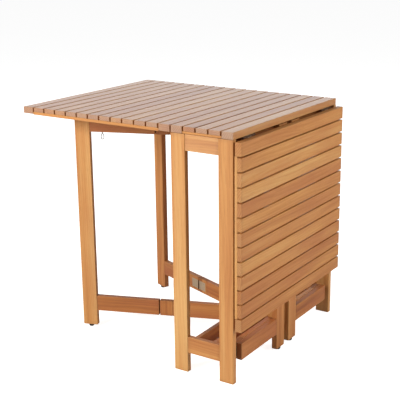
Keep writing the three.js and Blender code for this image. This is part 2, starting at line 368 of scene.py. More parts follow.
class Tree:
    """Adds nodes to a node tree and joins them."""

    def __init__(self, tree):
        self.tree = tree

    def add(self, kind, inputs=None, **settings):
        node = self.tree.nodes.new(kind)
        for key, value in settings.items():
            setattr(node, key, value)
        self.fill(node, inputs or {})
        return node

    def fill(self, node, inputs):
        """Links sockets and sets plain values."""
        for key, value in inputs.items():
            if isinstance(value, bpy.types.NodeSocket):
                self.tree.links.new(value, node.inputs[key])
            else:
                node.inputs[key].default_value = value

    def math(self, operation, first, second=0.0, third=0.0):
        inputs = {0: first, 1: second, 2: third}
        return self.add("ShaderNodeMath", inputs, operation=operation).outputs[0]

    def vector(self, operation, first, second=(0, 0, 0)):
        node = self.add("ShaderNodeVectorMath", {0: first, 1: second}, operation=operation)
        return node.outputs["Value" if operation == "LENGTH" else "Vector"]

    def mix(self, amount, first, second):
        node = self.add("ShaderNodeMix", data_type="RGBA")
        self.fill(node, {0: amount, 6: first, 7: second})
        return node.outputs[2]

    def span(self, value, low, high, to_low=0.0, to_high=1.0):
        inputs = {0: value, 1: low, 2: high, 3: to_low, 4: to_high}
        node = self.add("ShaderNodeMapRange", inputs, interpolation_type="SMOOTHSTEP")
        return node.outputs[0]

    def noise(self, vector, scale, detail=3.0, roughness=0.5):
        inputs = {"Vector": vector, "Scale": scale, "Detail": detail, "Roughness": roughness}
        return self.add("ShaderNodeTexNoise", inputs).outputs["Fac"]

    def attribute(self, name):
        return self.add("ShaderNodeAttribute", attribute_name=name).outputs["Vector"]

    def split(self, vector):
        return self.add("ShaderNodeSeparateXYZ", {0: vector}).outputs

    def joined(self, x, y, z):
        return self.add("ShaderNodeCombineXYZ", {0: x, 1: y, 2: z}).outputs[0]


def shader_group(name, inputs, outputs, build):
    """A shader node group with named sockets, built once."""
    if name in bpy.data.node_groups:
        return bpy.data.node_groups[name]
    group = bpy.data.node_groups.new(name, "ShaderNodeTree")
    for label, kind in inputs:
        group.interface.new_socket(name=label, in_out="INPUT", socket_type=kind)
    for label, kind in outputs:
        group.interface.new_socket(name=label, in_out="OUTPUT", socket_type=kind)
    tree = Tree(group)
    source = tree.add("NodeGroupInput").outputs
    results = build(tree, source)
    tree.add("NodeGroupOutput", results)
    return group


VECTOR, FLOAT, COLOUR = "NodeSocketVector", "NodeSocketFloat", "NodeSocketColor"


def build_figure(tree, source):
    """Growth rings, streaks, fibres and pores of a board whose grain runs along X."""
    seed, pitch, place = source["Seed"], source["Ring Pitch"], source["Place"]
    shift = tree.joined(tree.math("MULTIPLY", seed, 7.3), tree.math("MULTIPLY", seed, 3.1),
                        tree.math("MULTIPLY", seed, 5.7))
    moved = tree.vector("ADD", place, shift)

    def along_grain(length_scale, width_scale, detail, roughness=0.5):
        scaled = tree.vector("MULTIPLY", moved, (length_scale, width_scale, width_scale))
        return tree.noise(scaled, 1.0, detail, roughness)

    x, y, z = (tree.split(place)[i] for i in range(3))
    off_centre = tree.math("SUBTRACT", seed, 0.5)
    lean = tree.math("MULTIPLY", x, tree.math("MULTIPLY", off_centre, 0.05))
    across = tree.math("ADD", tree.math("MULTIPLY_ADD", off_centre, -0.16, y), lean)
    down = tree.math("ADD", tree.math("MULTIPLY_ADD", seed, 0.07, 0.035), z)
    radius = tree.vector("LENGTH", tree.joined(0.0, across, down))
    bent = tree.math("MULTIPLY_ADD", along_grain(2.2, 9.0, 2.0), 0.03, radius)
    ring = tree.math("FRACT", tree.math("DIVIDE", bent, pitch))
    rings = tree.math("SUBTRACT", tree.span(ring, 0.15, 0.85), tree.span(ring, 0.88, 1.0))
    fibre = along_grain(7.0, 480.0, 3.0, 0.6)
    pores = tree.span(along_grain(30.0, 1300.0, 2.0), 0.60, 0.72)
    height = tree.math("SUBTRACT", tree.math("MULTIPLY_ADD", rings, 0.25, fibre), pores)
    return {"Rings": rings, "Fibre": fibre, "Pores": pores, "Height": height,
            "Streaks": along_grain(1.5, 34.0, 2.0), "Bands": along_grain(2.4, 95.0, 2.0),
            "Blotch": along_grain(3.2, 14.0, 2.0)}


def figure_group():
    masks = ("Rings", "Fibre", "Pores", "Height", "Streaks", "Bands", "Blotch")
    return shader_group("timber_figure",
                        [("Place", VECTOR), ("Seed", FLOAT), ("Ring Pitch", FLOAT)],
                        [(name, FLOAT) for name in masks], build_figure)


def build_edges(tree, source):
    """How worn a point is by being near an arris, whether it is on a sawn end, and how near it
    is to an end, where grime and painted shade darken the wood.
    """
    place, half = source["Place"], source["Half"]
    inside = tree.vector("SUBTRACT", half, tree.vector("ABSOLUTE", place))
    x, y, z = (tree.split(inside)[i] for i in range(3))
    nearer, farther = tree.math("MINIMUM", y, z), tree.math("MAXIMUM", y, z)
    second = tree.math("MAXIMUM", nearer, tree.math("MINIMUM", farther, x))
    ragged = tree.math("ADD", tree.noise(place, 90.0, 3.0, 0.6), 0.4)
    width = tree.math("MULTIPLY", source["Width"], ragged)
    wear = tree.math("SUBTRACT", 1.0, tree.math("DIVIDE", second, width))
    wear = tree.add("ShaderNodeClamp", {0: wear}).outputs[0]
    # Grime and painted shade: darkest at a board's end, fading out 14 mm along it.
    return {"Wear": wear, "End": tree.span(x, 0.3 * MM, 1.1 * MM, 1.0, 0.0),
            "Grime And Shade": tree.span(x, 0.0, 14 * MM, 1.0, 0.0)}


def edges_group():
    return shader_group("board_edges",
                        [("Place", VECTOR), ("Half", VECTOR), ("Width", FLOAT)],
                        [("Wear", FLOAT), ("End", FLOAT), ("Grime And Shade", FLOAT)], build_edges)


def build_oiled_timber(tree, source):
    """Colour, gloss and relief of an oiled board."""
    settings = bpy.context.scene.garden_table_timber
    place, half = tree.attribute("place"), tree.attribute("half")
    tone, warmth, seed = (tree.split(tree.attribute("board"))[i] for i in range(3))
    grain = tree.add("ShaderNodeGroup", node_tree=figure_group())
    tree.fill(grain, {"Place": place, "Seed": seed, "Ring Pitch": settings.ring_pitch})
    edges = tree.add("ShaderNodeGroup", node_tree=edges_group())
    tree.fill(edges, {"Place": place, "Half": half, "Width": 2.2 * MM})
    grain, edges = grain.outputs, edges.outputs

    depth = tree.math("MULTIPLY_ADD", tree.math("SUBTRACT", tone, 0.5), 0.44, source["Depth"])
    for mask, amount in (("Streaks", 0.84), ("Bands", 0.42), ("Fibre", 0.24), ("Rings", 0.10)):
        about_middle = tree.math("SUBTRACT", grain[mask], 0.5)
        depth = tree.math("MULTIPLY_ADD", about_middle, amount, depth)
    ramp = tree.add("ShaderNodeValToRGB", {0: depth})
    stops = ((0.0, settings.straw), (0.38, settings.honey), (0.72, settings.amber),
             (1.0, settings.umber))
    for _ in range(len(stops) - len(ramp.color_ramp.elements)):
        ramp.color_ramp.elements.new(1.0)
    for element, (position, shade) in zip(ramp.color_ramp.elements, stops):
        element.position, element.color = position, rgba(shade)
    patches = tree.math("MULTIPLY_ADD", tree.math("SUBTRACT", grain["Blotch"], 0.5), 3.2, warmth)
    redness = tree.add("ShaderNodeClamp", {0: tree.math("MULTIPLY", patches, source["Redness"])})
    wood = tree.mix(redness.outputs[0], ramp.outputs[0], rgba(settings.heart))
    wood = tree.mix(tree.math("MULTIPLY", grain["Pores"], 0.40), wood, rgba(settings.umber))
    # Grime and painted shade where boards meet: the wood darkens towards umber near its ends.
    wood = tree.mix(tree.math("MULTIPLY", edges["Grime And Shade"], 0.16), wood, rgba(settings.umber))
    ends = tree.mix(tree.math("MULTIPLY", seed, 0.8), source["End Grain"], wood)
    ends = tree.mix(tree.math("MULTIPLY", grain["Rings"], 0.35), ends, rgba(settings.umber))
    wood = tree.mix(tree.math("MULTIPLY", edges["End"], 0.75), wood, ends)
    wood = tree.mix(tree.math("MULTIPLY", edges["Wear"], 0.20), wood, rgba(settings.straw))
    gloss = tree.math("MULTIPLY_ADD", grain["Fibre"], 0.24, source["Roughness"])
    gloss = tree.math("MULTIPLY_ADD", edges["End"], 0.18, gloss)
    return {"Colour": wood, "Gloss": gloss, "Relief": grain["Height"]}


def oiled_timber_group():
    return shader_group(
        "oiled_timber",
        [("Depth", FLOAT), ("Redness", FLOAT), ("Roughness", FLOAT), ("End Grain", COLOUR)],
        [("Colour", COLOUR), ("Gloss", FLOAT), ("Relief", FLOAT)], build_oiled_timber)


class Finish(typing.NamedTuple):
    """How one kind of board is cut and oiled."""

    depth: float  # of colour, from straw at 0 to umber at 1
    redness: float
    roughness: float
    shine: float  # of the wood's own surface
    oil: float  # clear coat left on top
    end_grain: tuple  # colour of the sawn ends


TIMBER_FINISHES = {
    "top_boards": Finish(0.50, 0.42, 0.34, 0.5, 0.55, (0.36, 0.235, 0.165)),
    "leaf_boards": Finish(0.42, 0.46, 0.38, 0.3, 0.05, (0.44, 0.225, 0.095)),
    "legs": Finish(0.33, 0.16, 0.38, 0.35, 0.08, (0.40, 0.23, 0.12)),
    "top_rails": Finish(0.40, 0.45, 0.36, 0.5, 0.40, (0.36, 0.20, 0.11)),
    "end_rails": Finish(0.53, 0.55, 0.38, 0.35, 0.08, (0.34, 0.16, 0.07)),
    "gate_stiles": Finish(0.47, 0.34, 0.40, 0.3, 0.05, (0.34, 0.16, 0.07)),
    "gate_rails": Finish(0.64, 0.95, 0.40, 0.3, 0.05, (0.24, 0.10, 0.04)),
    "battens": Finish(0.44, 0.45, 0.42, 0.3, 0.0, (0.36, 0.19, 0.10)),
}


def rgba(rgb, scale=1.0):
    return (*[c * scale for c in rgb], 1.0)


def timber_material(finish):
    """Oiled hardwood, lighter or redder for each kind of piece."""
    name = finish + "_oiled"
    if name in bpy.data.materials:
        return bpy.data.materials[name]
    look = TIMBER_FINISHES[finish]
    material = bpy.data.materials.new(name)
    material.use_nodes = True
    tree = Tree(material.node_tree)
    shader = material.node_tree.nodes["Principled BSDF"]
    wood = tree.add("ShaderNodeGroup", node_tree=oiled_timber_group())
    tree.fill(wood, {"Depth": look.depth, "Redness": look.redness, "Roughness": look.roughness,
                     "End Grain": rgba(look.end_grain)})
    bump = tree.add("ShaderNodeBump", {"Height": wood.outputs["Relief"], "Strength": 0.35,
                                       "Distance": 0.12 * MM})
    tree.fill(shader, {"Base Color": wood.outputs["Colour"], "Roughness": wood.outputs["Gloss"],
                       "Specular IOR Level": look.shine, "Normal": bump.outputs[0],
                       "Coat Weight": look.oil, "Coat Roughness": 0.30})
    return material


def plain_material(name, base, metallic, roughness, scale, depth, grease_and_shade_colour=None):
    """Metal or plastic with fine mottling of colour and gloss. With a grease and shade colour, the
    metal darkens round the piece's own Y axis, where a hinge has its pin: grease and painted shade
    in the seam by the barrel."""
    if name in bpy.data.materials:
        return bpy.data.materials[name]
    material = bpy.data.materials.new(name)
    material.use_nodes = True
    tree = Tree(material.node_tree)
    shader = material.node_tree.nodes["Principled BSDF"]
    where = tree.add("ShaderNodeTexCoord").outputs["Object"]
    mottle = tree.noise(where, scale, 4.0, 0.6)
    fine = tree.noise(where, scale * 9, 2.0)
    shade = tree.mix(mottle, rgba(base, 1 - depth), rgba(base, 1 + depth))
    gloss = tree.math("MULTIPLY_ADD", fine, 0.3, roughness - 0.15)
    if grease_and_shade_colour:
        # Grease and painted shade: the metal darkens within about 4 mm of the pin, where the seam
        # lies in shade.
        reach = tree.vector("LENGTH", tree.vector("MULTIPLY", where, (1, 0, 1)))
        ragged = tree.math("MULTIPLY_ADD", mottle, 1.6 * MM, reach)
        grease_and_shade = tree.span(ragged, 3.4 * MM, 4.8 * MM, 0.9, 0.0)
        shade = tree.mix(grease_and_shade, shade, rgba(grease_and_shade_colour))
        gloss = tree.math("MULTIPLY_ADD", grease_and_shade, 0.25, gloss)
    bump = tree.add("ShaderNodeBump", {"Height": fine, "Strength": 0.25, "Distance": 0.05 * MM})
    tree.fill(shader, {"Base Color": shade, "Metallic": metallic, "Roughness": gloss,
                       "Normal": bump.outputs[0]})
    return material


def zinc():
    base = bpy.context.scene.garden_table_hardware.zinc
    return plain_material("zinc_plate", base, 1.0, 0.42, 220.0, 0.22)


def hinge_steel():
    settings = bpy.context.scene.garden_table_hardware
    return plain_material("hinge_steel", settings.brassy, 0.75, 0.5, 160.0, 0.25, settings.grease_and_shade_colour)


def foot_plastic():
    base = bpy.context.scene.garden_table_hardware.plastic
    return plain_material("foot_plastic", base, 0.0, 0.55, 160.0, 0.35)


# ---------------------------------------------------------------- top and leaves


def batten_rows():
    """Limits along Y of the four battens, front to rear."""
    settings = bpy.context.scene.garden_table_timber
    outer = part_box("centre_slat_1")[1].y - settings.batten_set_back
    inner = outer - settings.batten_end
    near = settings.batten_middle_y - settings.batten_middle / 2
    far = near + settings.batten_middle
    return [(-outer, -inner), (-far, -near), (near, far), (inner, outer)]


def edge_thickness():
    """Thickness of the edge boards, which are thicker than the slats."""
    low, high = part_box("centre_frame")
    return high.z - low.z


def make_centre_top():
    """The fixed middle: thick boards at both edges, battens across and slats between."""
    settings = bpy.context.scene.garden_table_timber
    low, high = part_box("centre_frame")
    node, finish, seam = ("centre_frame",), "top_boards", settings.seam
    slats = [f"centre_slat_{i}" for i in (1, 2, 3)]
    first, second, last = (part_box(slat) for slat in slats)
    gap = second[0].x - first[1].x
    left, right = first[0].x - gap, last[1].x + gap
    timber("centre_edge_left", low, (left, high.y, high.z), "Y", "X", "frame", finish, node)
    timber("centre_edge_right", (right, low.y, low.z), high, "Y", "X", "frame", finish, node)
    top = first[0].z - settings.board_fit
    for i, (front, rear) in enumerate(batten_rows(), 1):
        timber(f"centre_batten_{i}", (left + seam, front, low.z), (right - seam, rear, top),
               "X", "Y", "frame", "battens", node)
    for slat in slats:
        timber(slat + "_board", *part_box(slat), "Y", "X", "frame", finish, (slat,))


def make_raised_leaf():
    """The left leaf: thick boards at both edges, battens across and slats between."""
    settings = bpy.context.scene.garden_table_timber
    body, node, finish = "left_leaf", ("left_leaf_frame",), "top_boards"
    slats = [f"left_leaf_slat_{i:02d}" for i in range(1, 12)]
    low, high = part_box("left_leaf_frame")
    first, second, last = (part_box(slats[i]) for i in (0, 1, -1))
    gap = first[0].x - second[1].x
    inner, outer = first[1].x + gap, last[0].x - gap
    edge_low = high.z - edge_thickness()
    timber("left_leaf_edge_inner", (inner, low.y, edge_low), high, "Y", "X", body, finish, node)
    timber("left_leaf_edge_outer", (low.x, low.y, edge_low), (outer, high.y, high.z),
           "Y", "X", body, finish, node)
    top = first[0].z - settings.board_fit
    for i, (front, rear) in enumerate(batten_rows(), 1):
        timber(f"left_leaf_batten_{i}", (outer + settings.seam, front, low.z),
               (inner - settings.seam, rear, top), "X", "Y", body, "battens", node)
    for slat in slats:
        timber(slat + "_board", *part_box(slat), "Y", "X", body, finish, (slat,))


def make_hanging_leaf():
    """The right leaf, made as the left one, with its top face towards +X."""
    settings = bpy.context.scene.garden_table_timber
    body, node, finish = "right_leaf", ("right_leaf_frame",), "leaf_boards"
    slats = [f"right_leaf_slat_{i:02d}" for i in range(1, 12)]
    low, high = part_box("right_leaf_frame")
    first, second, last = (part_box(slats[i]) for i in (0, 1, -1))
    gap = first[0].z - second[1].z
    inner, outer = first[1].z + gap, last[0].z - gap
    edge_low = high.x - edge_thickness()
    timber("right_leaf_edge_inner", (edge_low, low.y, inner), high, "Y", "Z", body, finish, node)
    timber("right_leaf_edge_outer", (edge_low, low.y, low.z), (high.x, high.y, outer),
           "Y", "Z", body, finish, node)
    top = first[0].x - settings.board_fit
    for i, (front, rear) in enumerate(batten_rows(), 1):
        timber(f"right_leaf_batten_{i}", (low.x, front, outer + settings.seam),
               (top, rear, inner - settings.seam), "Z", "Y", body, "battens", node)
    for slat in slats:
        timber(slat + "_board", *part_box(slat), "Y", "Z", body, finish, (slat,))


# ---------------------------------------------------------------- base


def make_end_frame(end):
    """Two legs with a top rail and a lower rail between them."""
    settings = bpy.context.scene.garden_table_timber
    name = f"{end}_end_frame"
    low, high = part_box(name)
    node, seam, width = (name,), settings.seam, settings.leg_width
    timber(f"{end}_left_leg", low, (low.x + width, high.y, high.z), "Z", "X", "frame", "legs", node)
    timber(f"{end}_right_leg", (high.x - width, low.y, low.z), high, "Z", "X", "frame", "legs",
           node)
    back = (settings.leg_thick - settings.rail_thick) / 2
    near, far = low.y + back, high.y - back
    left, right = low.x + width + seam, high.x - width - seam
    timber(f"{end}_top_rail", (left, near, high.z - settings.top_rail), (right, far, high.z),
           "X", "Z", "frame", "top_rails", node, arris=1.0 * MM)
    timber(f"{end}_lower_rail", (left, near, settings.low_rail_bottom),
           (right, far, settings.low_rail_top), "X", "Z", "frame", "end_rails", node)


def make_stretcher(side):
    """A lengthwise rail between the end frames."""
    node = f"{side}_stretcher"
    timber(node + "_rail", *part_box(node), "Y", "Z", "frame", "gate_rails", (node,))


def round_pin(radius, half_length, easing):
    """An upright pin with eased ends, about its middle."""
    return lathe([(0, -half_length), (radius - easing, -half_length),
                  (radius, easing - half_length), (radius, half_length - easing),
                  (radius - easing, half_length), (0, half_length)], 24)


def make_bearer(level):
    """A bearer with the four pins that the gates turn on, in its face towards the gates."""
    hardware = bpy.context.scene.garden_table_hardware
    node = f"{level}_pivot_bearer"
    low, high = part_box(node)
    gate_low, gate_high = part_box("left_front_gate_inner")
    face = bpy.context.scene.garden_table_timber.board_fit
    if level == "lower":
        block_low, block_high = low.z, gate_low.z - face
        pin_low, pin_high = block_high - MM, high.z
    else:
        block_low, block_high = gate_high.z + face, high.z
        pin_low, pin_high = low.z, block_low + MM
    timber(node + "_block", (low.x, low.y, block_low), (high.x, high.y, block_high),
           "X", "Y", "frame", "gate_rails", (node,))
    for corner in CORNERS:
        pivot = JOINTS[f"{corner}_gate_swing"]["pos_m"]
        middle = Matrix.Translation((pivot[0], pivot[1], (pin_low + pin_high) / 2))
        pin = round_pin(hardware.pivot_pin, (pin_high - pin_low) / 2, 0.8 * MM)
        finished(f"{corner}_{level}_pivot_pin", pin, middle, "frame", zinc(), (node,))


# ---------------------------------------------------------------- gates


class GateLayout:
    """Where a gate's two halves lie at rest. In each half's own axes X runs along the gate from
    the pivot or the elbow to the foot, Z is up, and the elbow hinges are at hand times Y."""

    def __init__(self, corner):
        thick = bpy.context.scene.garden_table_timber.gate_thick
        pivot = Vector(JOINTS[f"{corner}_gate_swing"]["pos_m"])
        elbow = Vector(JOINTS[f"{corner}_gate_fold"]["pos_m"])
        foot = sum(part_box(f"{corner}_glide"), Vector()) / 2
        pivot.z = elbow.z = foot.z = 0
        self.hand = 1 if corner in ("left_rear", "right_front") else -1
        self.half_thick = thick / 2
        hardware = bpy.context.scene.garden_table_hardware
        self.offset = thick / 2 + hardware.elbow_stand_off
        reach = elbow - pivot
        self.inner_length = math.sqrt(reach.length_squared - self.offset ** 2)
        turn = math.atan2(reach.y, reach.x) - math.atan2(self.hand * self.offset, self.inner_length)
        inner_turn = Matrix.Rotation(turn, 4, "Z")
        folded = (foot - pivot).length < reach.length
        outer_turn = Matrix.Rotation(turn + (math.pi if folded else 0), 4, "Z")
        self.inner = Matrix.Translation(pivot) @ inner_turn
        start = elbow - outer_turn @ Vector((0, self.hand * self.offset, 0))
        self.outer = Matrix.Translation(start) @ outer_turn
        self.outer_length = (self.outer.inverted() @ foot).x
        self.bottom, self.top = (point.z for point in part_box(f"{corner}_gate_inner"))
        rail = bpy.context.scene.garden_table_timber.gate_rail
        self.rails = {"lower": (self.bottom, self.bottom + rail),
                      "upper": (self.top - rail, self.top)}


def rod_cut(radius, x, y, low, high):
    """An upright round cutter at (x, y), with its matrix."""
    rod = lathe([(0, low), (radius, low), (radius, high), (0, high)], 24)
    return rod, Matrix.Translation((x, y, 0))


def make_inner_gate(corner):
    """The hidden pivot stile, and two rails that end in upright-grained elbow blocks."""
    settings = bpy.context.scene.garden_table_timber
    hardware = bpy.context.scene.garden_table_hardware
    gate = GateLayout(corner)
    body, node = f"{corner}_inner", (f"{corner}_gate_inner",)
    half, seam, stile = gate.half_thick, settings.seam, settings.pivot_stile / 2
    bore, depth = hardware.pivot_pin + hardware.play, hardware.pivot_depth + MM
    bores = [rod_cut(bore, 0, 0, gate.bottom - MM, gate.bottom + depth),
             rod_cut(bore, 0, 0, gate.top - depth, gate.top + MM)]
    timber(f"{corner}_pivot_stile", (-stile, -half, gate.bottom), (stile, half, gate.top),
           "Z", "X", body, "gate_stiles", node, gate.inner, bores)
    end = gate.inner_length - settings.elbow_slit / 2
    block = end - settings.elbow_block
    notch = (hardware.elbow_barrel + hardware.play, gate.inner_length, gate.hand * gate.offset)
    for level, (low, high) in gate.rails.items():
        reach = hardware.elbow_length / 2
        middle = (low + high) / 2
        cut = rod_cut(*notch, middle - reach, middle + reach)
        timber(f"{corner}_inner_{level}_rail", (stile + seam, -half, low),
               (block - seam / 2, half, high), "X", "Z", body, "gate_rails", node, gate.inner)
        timber(f"{corner}_{level}_elbow_block", (block + seam / 2, -half, low),
               (end, half, high), "Z", "X", body, "gate_rails", node, gate.inner, [cut])


def make_outer_gate(corner):
    """The foot stile and the two rails that reach back to the elbow."""
    settings = bpy.context.scene.garden_table_timber
    hardware = bpy.context.scene.garden_table_hardware
    gate = GateLayout(corner)
    body, node = f"{corner}_outer", (f"{corner}_gate_outer",)
    half, foot = gate.half_thick, settings.foot_stile / 2
    low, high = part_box(f"{corner}_gate_outer")
    timber(f"{corner}_foot_stile", (gate.outer_length - foot, -half, low.z),
           (gate.outer_length + foot, half, high.z), "Z", "X", body, "gate_stiles", node,
           gate.outer)
    far = gate.outer_length - foot - settings.seam
    for level, (low, high) in gate.rails.items():
        reach = hardware.elbow_length / 2
        middle = (low + high) / 2
        cut = rod_cut(hardware.elbow_barrel + hardware.play, 0, gate.hand * gate.offset,
                      middle - reach, middle + reach)
        timber(f"{corner}_outer_{level}_rail", (settings.elbow_slit / 2, -half, low),
               (far, half, high), "X", "Z", body, "gate_rails", node, gate.outer, [cut])


# ---------------------------------------------------------------- hardware


def screw_head(radius):
    """A countersunk head with a cross recess, its seat in the plane Z = 0."""
    crown = 0.16 * radius
    head = lathe([(0, -0.5 * radius), (radius * 0.5, -0.5 * radius), (radius, -0.02 * radius),
                  (radius * 0.97, 0.05 * radius), (radius * 0.6, crown * 0.85), (0, crown)], 20)
    bar = (radius * 1.15, radius * 0.24, radius * 0.6)
    bars = [(rounded_box(bar, 0), Matrix.Translation((0, 0, crown))
             @ Matrix.Rotation(turn, 4, "Z")) for turn in (0, math.pi / 2)]
    return with_cuts(head, bars)


def screws_at(name, places, outward, radius, body):
    """Screw heads at the places, all facing outward, as one piece."""
    template = bpy.data.meshes.new("screw")
    head = screw_head(radius)
    head.to_mesh(template)
    head.free()
    whole = bmesh.new()
    outward = Vector(outward).normalized()
    across = outward.orthogonal().normalized()
    dice = random.Random(name)
    for place in places:
        mesh = template.copy()
        turn = Matrix.Rotation(dice.random() * math.pi, 4, "Z")
        mesh.transform(place_matrix(place, across, outward.cross(across)) @ turn)
        whole.from_mesh(mesh)
        bpy.data.meshes.remove(mesh)
    bpy.data.meshes.remove(template)
    return finished(name, whole, Matrix.Identity(4), body, zinc())


def hinge_half(barrel, long, width, thick, lift, knuckles):
    """One leaf of a butt hinge. The pin is along Y at the origin and the plate reaches to +X with
    its outer face at Z = lift. knuckles are the barrel pieces' limits along Y."""
    clear = barrel + PLATE_GAP
    tongue_length = clear + 0.4 * MM
    pieces = [(rounded_box((width - clear, long, thick), 0.35 * MM, 2),
               Matrix.Translation(((width + clear) / 2, 0, lift - thick / 2)))]
    upright = Matrix.Rotation(math.pi / 2, 4, "X")
    for low, high in knuckles:
        low, high = low + KNUCKLE_GAP, high - KNUCKLE_GAP
        middle = (low + high) / 2
        tongue = rounded_box((tongue_length, high - low, thick), 0)
        pieces.append((tongue, Matrix.Translation((tongue_length / 2, middle, lift - thick / 2))))
        knuckle = round_pin(barrel, (high - low) / 2, KNUCKLE_EASING)
        pieces.append((knuckle, Matrix.Translation((0, middle, 0)) @ upright))
    return merged(pieces)


def make_leaf_hinge(side, end):
    """Both halves of a butt hinge under the edge boards, with their screws."""
    hardware = bpy.context.scene.garden_table_hardware
    axis = Vector(JOINTS["left_leaf_lift" if side == "left" else "right_leaf_raise"]["pos_m"])
    fixed_node, leaf_node = (f"{side}_{end}_hinge_{half}_half" for half in ("fixed", "leaf"))
    low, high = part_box(fixed_node)
    centre = Vector((axis.x, (low.y + high.y) / 2, axis.z))
    sixth = hardware.hinge_length / 6
    inward = X if side == "left" else -X
    leaf_along, leaf_face = (-X, Z) if side == "left" else (-Z, X)
    halves = ((fixed_node, "frame", inward, Z, [(-3 * sixth, -sixth), (sixth, 3 * sixth)]),
              (leaf_node, f"{side}_leaf", leaf_along, leaf_face, [(-sixth, sixth)]))
    for node, body, along, face, knuckles in halves:
        matrix = place_matrix(centre, along, face.cross(along))
        lift = hardware.hinge_barrel
        half = hinge_half(hardware.hinge_barrel, hardware.hinge_length, hardware.hinge_width,
                          hardware.hinge_plate, lift, knuckles)
        finished(node + "_plate", half, matrix, body, hinge_steel(), (node,))
        under = lift - hardware.hinge_plate
        spots = [matrix @ Vector((x_share * hardware.hinge_width,
                                  y_share * hardware.hinge_length, under))
                 for x_share, y_share in LEAF_HINGE_HOLES]
        screws_at(node + "_screws", spots, -face, hardware.hinge_screw, body)


def make_elbow_hinges(corner):
    """A gate's two elbow hinges, let into the faces that close on each other."""
    hardware = bpy.context.scene.garden_table_hardware
    gate = GateLayout(corner)
    sixth = hardware.elbow_length / 6
    ends = [(-3 * sixth, -sixth), (sixth, 3 * sixth)]
    lift = gate.half_thick + hardware.elbow_proud - gate.offset
    halves = (("inner", gate.inner, gate.inner_length, -1, ends),
              ("outer", gate.outer, 0, 1, [(-sixth, sixth)]))
    for level, (low, high) in gate.rails.items():
        for half_name, home, x, toward, knuckles in halves:
            centre = home @ Vector((x, gate.hand * gate.offset, (low + high) / 2))
            along = home.to_3x3() @ Vector((toward, 0, 0))
            out = home.to_3x3() @ Vector((0, gate.hand, 0))
            matrix = place_matrix(centre, along, out.cross(along))
            half = hinge_half(hardware.elbow_barrel, hardware.elbow_length, hardware.elbow_width,
                              hardware.elbow_plate, lift, knuckles)
            name, body = f"{corner}_{level}_elbow_hinge_{half_name}", f"{corner}_{half_name}"
            finished(name, half, matrix, body, hinge_steel())
            spots = [matrix @ Vector((x_share * hardware.elbow_width,
                                      y_share * hardware.elbow_length, lift - ELBOW_SCREW_SINK))
                     for x_share, y_share in ELBOW_HINGE_HOLES]
            screws_at(name + "_screws", spots, out, hardware.elbow_screw, body)


def make_glide(corner):
    """A domed foot with a shallow groove round its top."""
    node = f"{corner}_glide"
    low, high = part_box(node)
    radius, tall = (high.y - low.y) / 2, high.z - low.z
    flat, steps = 0.55 * radius, 7
    profile = [(0, 0), (flat, 0)]
    for i in range(1, steps + 1):
        turn = i / steps * math.pi / 2
        out = flat + (radius - flat) * math.sin(turn)
        profile.append((out, 0.6 * tall * (1 - math.cos(turn))))
    groove = ((1.0, 0.78), (0.95, 0.80), (0.95, 0.88), (1.0, 0.90), (1.0, 1.0), (0.0, 1.0))
    profile += [(radius * out, tall * up) for out, up in groove]
    centre = (low + high) / 2
    finished(node + "_foot", lathe(profile, 40), Matrix.Translation((centre.x, centre.y, low.z)),
             f"{corner}_outer", foot_plastic(), (node,))


def make_eye(corner):
    """A drop-shaped wire eye on a threaded neck under the upper rail."""
    hardware = bpy.context.scene.garden_table_hardware
    node = f"{corner}_eye"
    low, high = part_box(node)
    wire, steps = hardware.wire, 36
    neck_length, collar_height = 3.2 * MM, 0.8 * MM
    bottom, top = low.z + wire, high.z - neck_length
    loop = []
    for i in range(steps):
        turn = 2 * math.pi * i / steps
        rise = 0.5 - 0.5 * math.cos(turn)
        pinch = math.cos(rise * math.pi / 2) ** 0.35
        loop.append((hardware.eye_half_width * math.sin(turn) * pinch, 0,
                     bottom + (top - bottom) * rise))
    neck = [(0, 0, top - 0.4 * MM), (0, 0, (top + high.z) / 2), (0, 0, high.z + 0.2 * MM)]
    rim = 2.4 * MM
    collar = lathe([(0, 0), (rim * 0.92, 0), (rim, collar_height / 2), (rim * 0.92, collar_height),
                    (0, collar_height)], 20)
    whole = merged([(tube(loop, wire, closed=True), Matrix.Identity(4)),
                    (tube(neck, wire * 1.15), Matrix.Identity(4)),
                    (collar, Matrix.Translation((0, 0, high.z - collar_height)))])
    centre = (low + high) / 2
    turn = GateLayout(corner).outer.to_euler().z
    matrix = Matrix.Translation((centre.x, centre.y, 0)) @ Matrix.Rotation(turn, 4, "Z")
    finished(node + "_wire", whole, matrix, f"{corner}_outer", zinc(), (node,))


def make_board_screws():
    """The screws that hold the slats to the battens, seen from below and behind."""
    radius = bpy.context.scene.garden_table_hardware.screw_head
    rows = [(front + rear) / 2 for front, rear in batten_rows()]

    def middles(names):
        return [sum(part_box(name), Vector()) / 2 for name in names]

    tops = ((middles(f"centre_slat_{i}" for i in (1, 2, 3)), "centre_frame", "frame", "centre"),
            (middles(f"left_leaf_slat_{i:02d}" for i in range(1, 12)), "left_leaf_frame",
             "left_leaf", "left_leaf"))
    for slats, node, body, name in tops:
        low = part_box(node)[0].z
        spots = [Vector((slat.x, y, low)) for slat in slats for y in rows]
        screws_at(f"{name}_slat_screws", spots, -Z, radius, body)
    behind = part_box("right_leaf_frame")[0].x
    slats = middles(f"right_leaf_slat_{i:02d}" for i in range(1, 12))
    spots = [Vector((behind, y, slat.z)) for slat in slats for y in rows]
    screws_at("right_leaf_slat_screws", spots, -X, radius, "right_leaf")


# ---------------------------------------------------------------- studio

LIGHTS_AIM = Vector((0, 0, 0.45))
FLOOR_REACH = 60.0


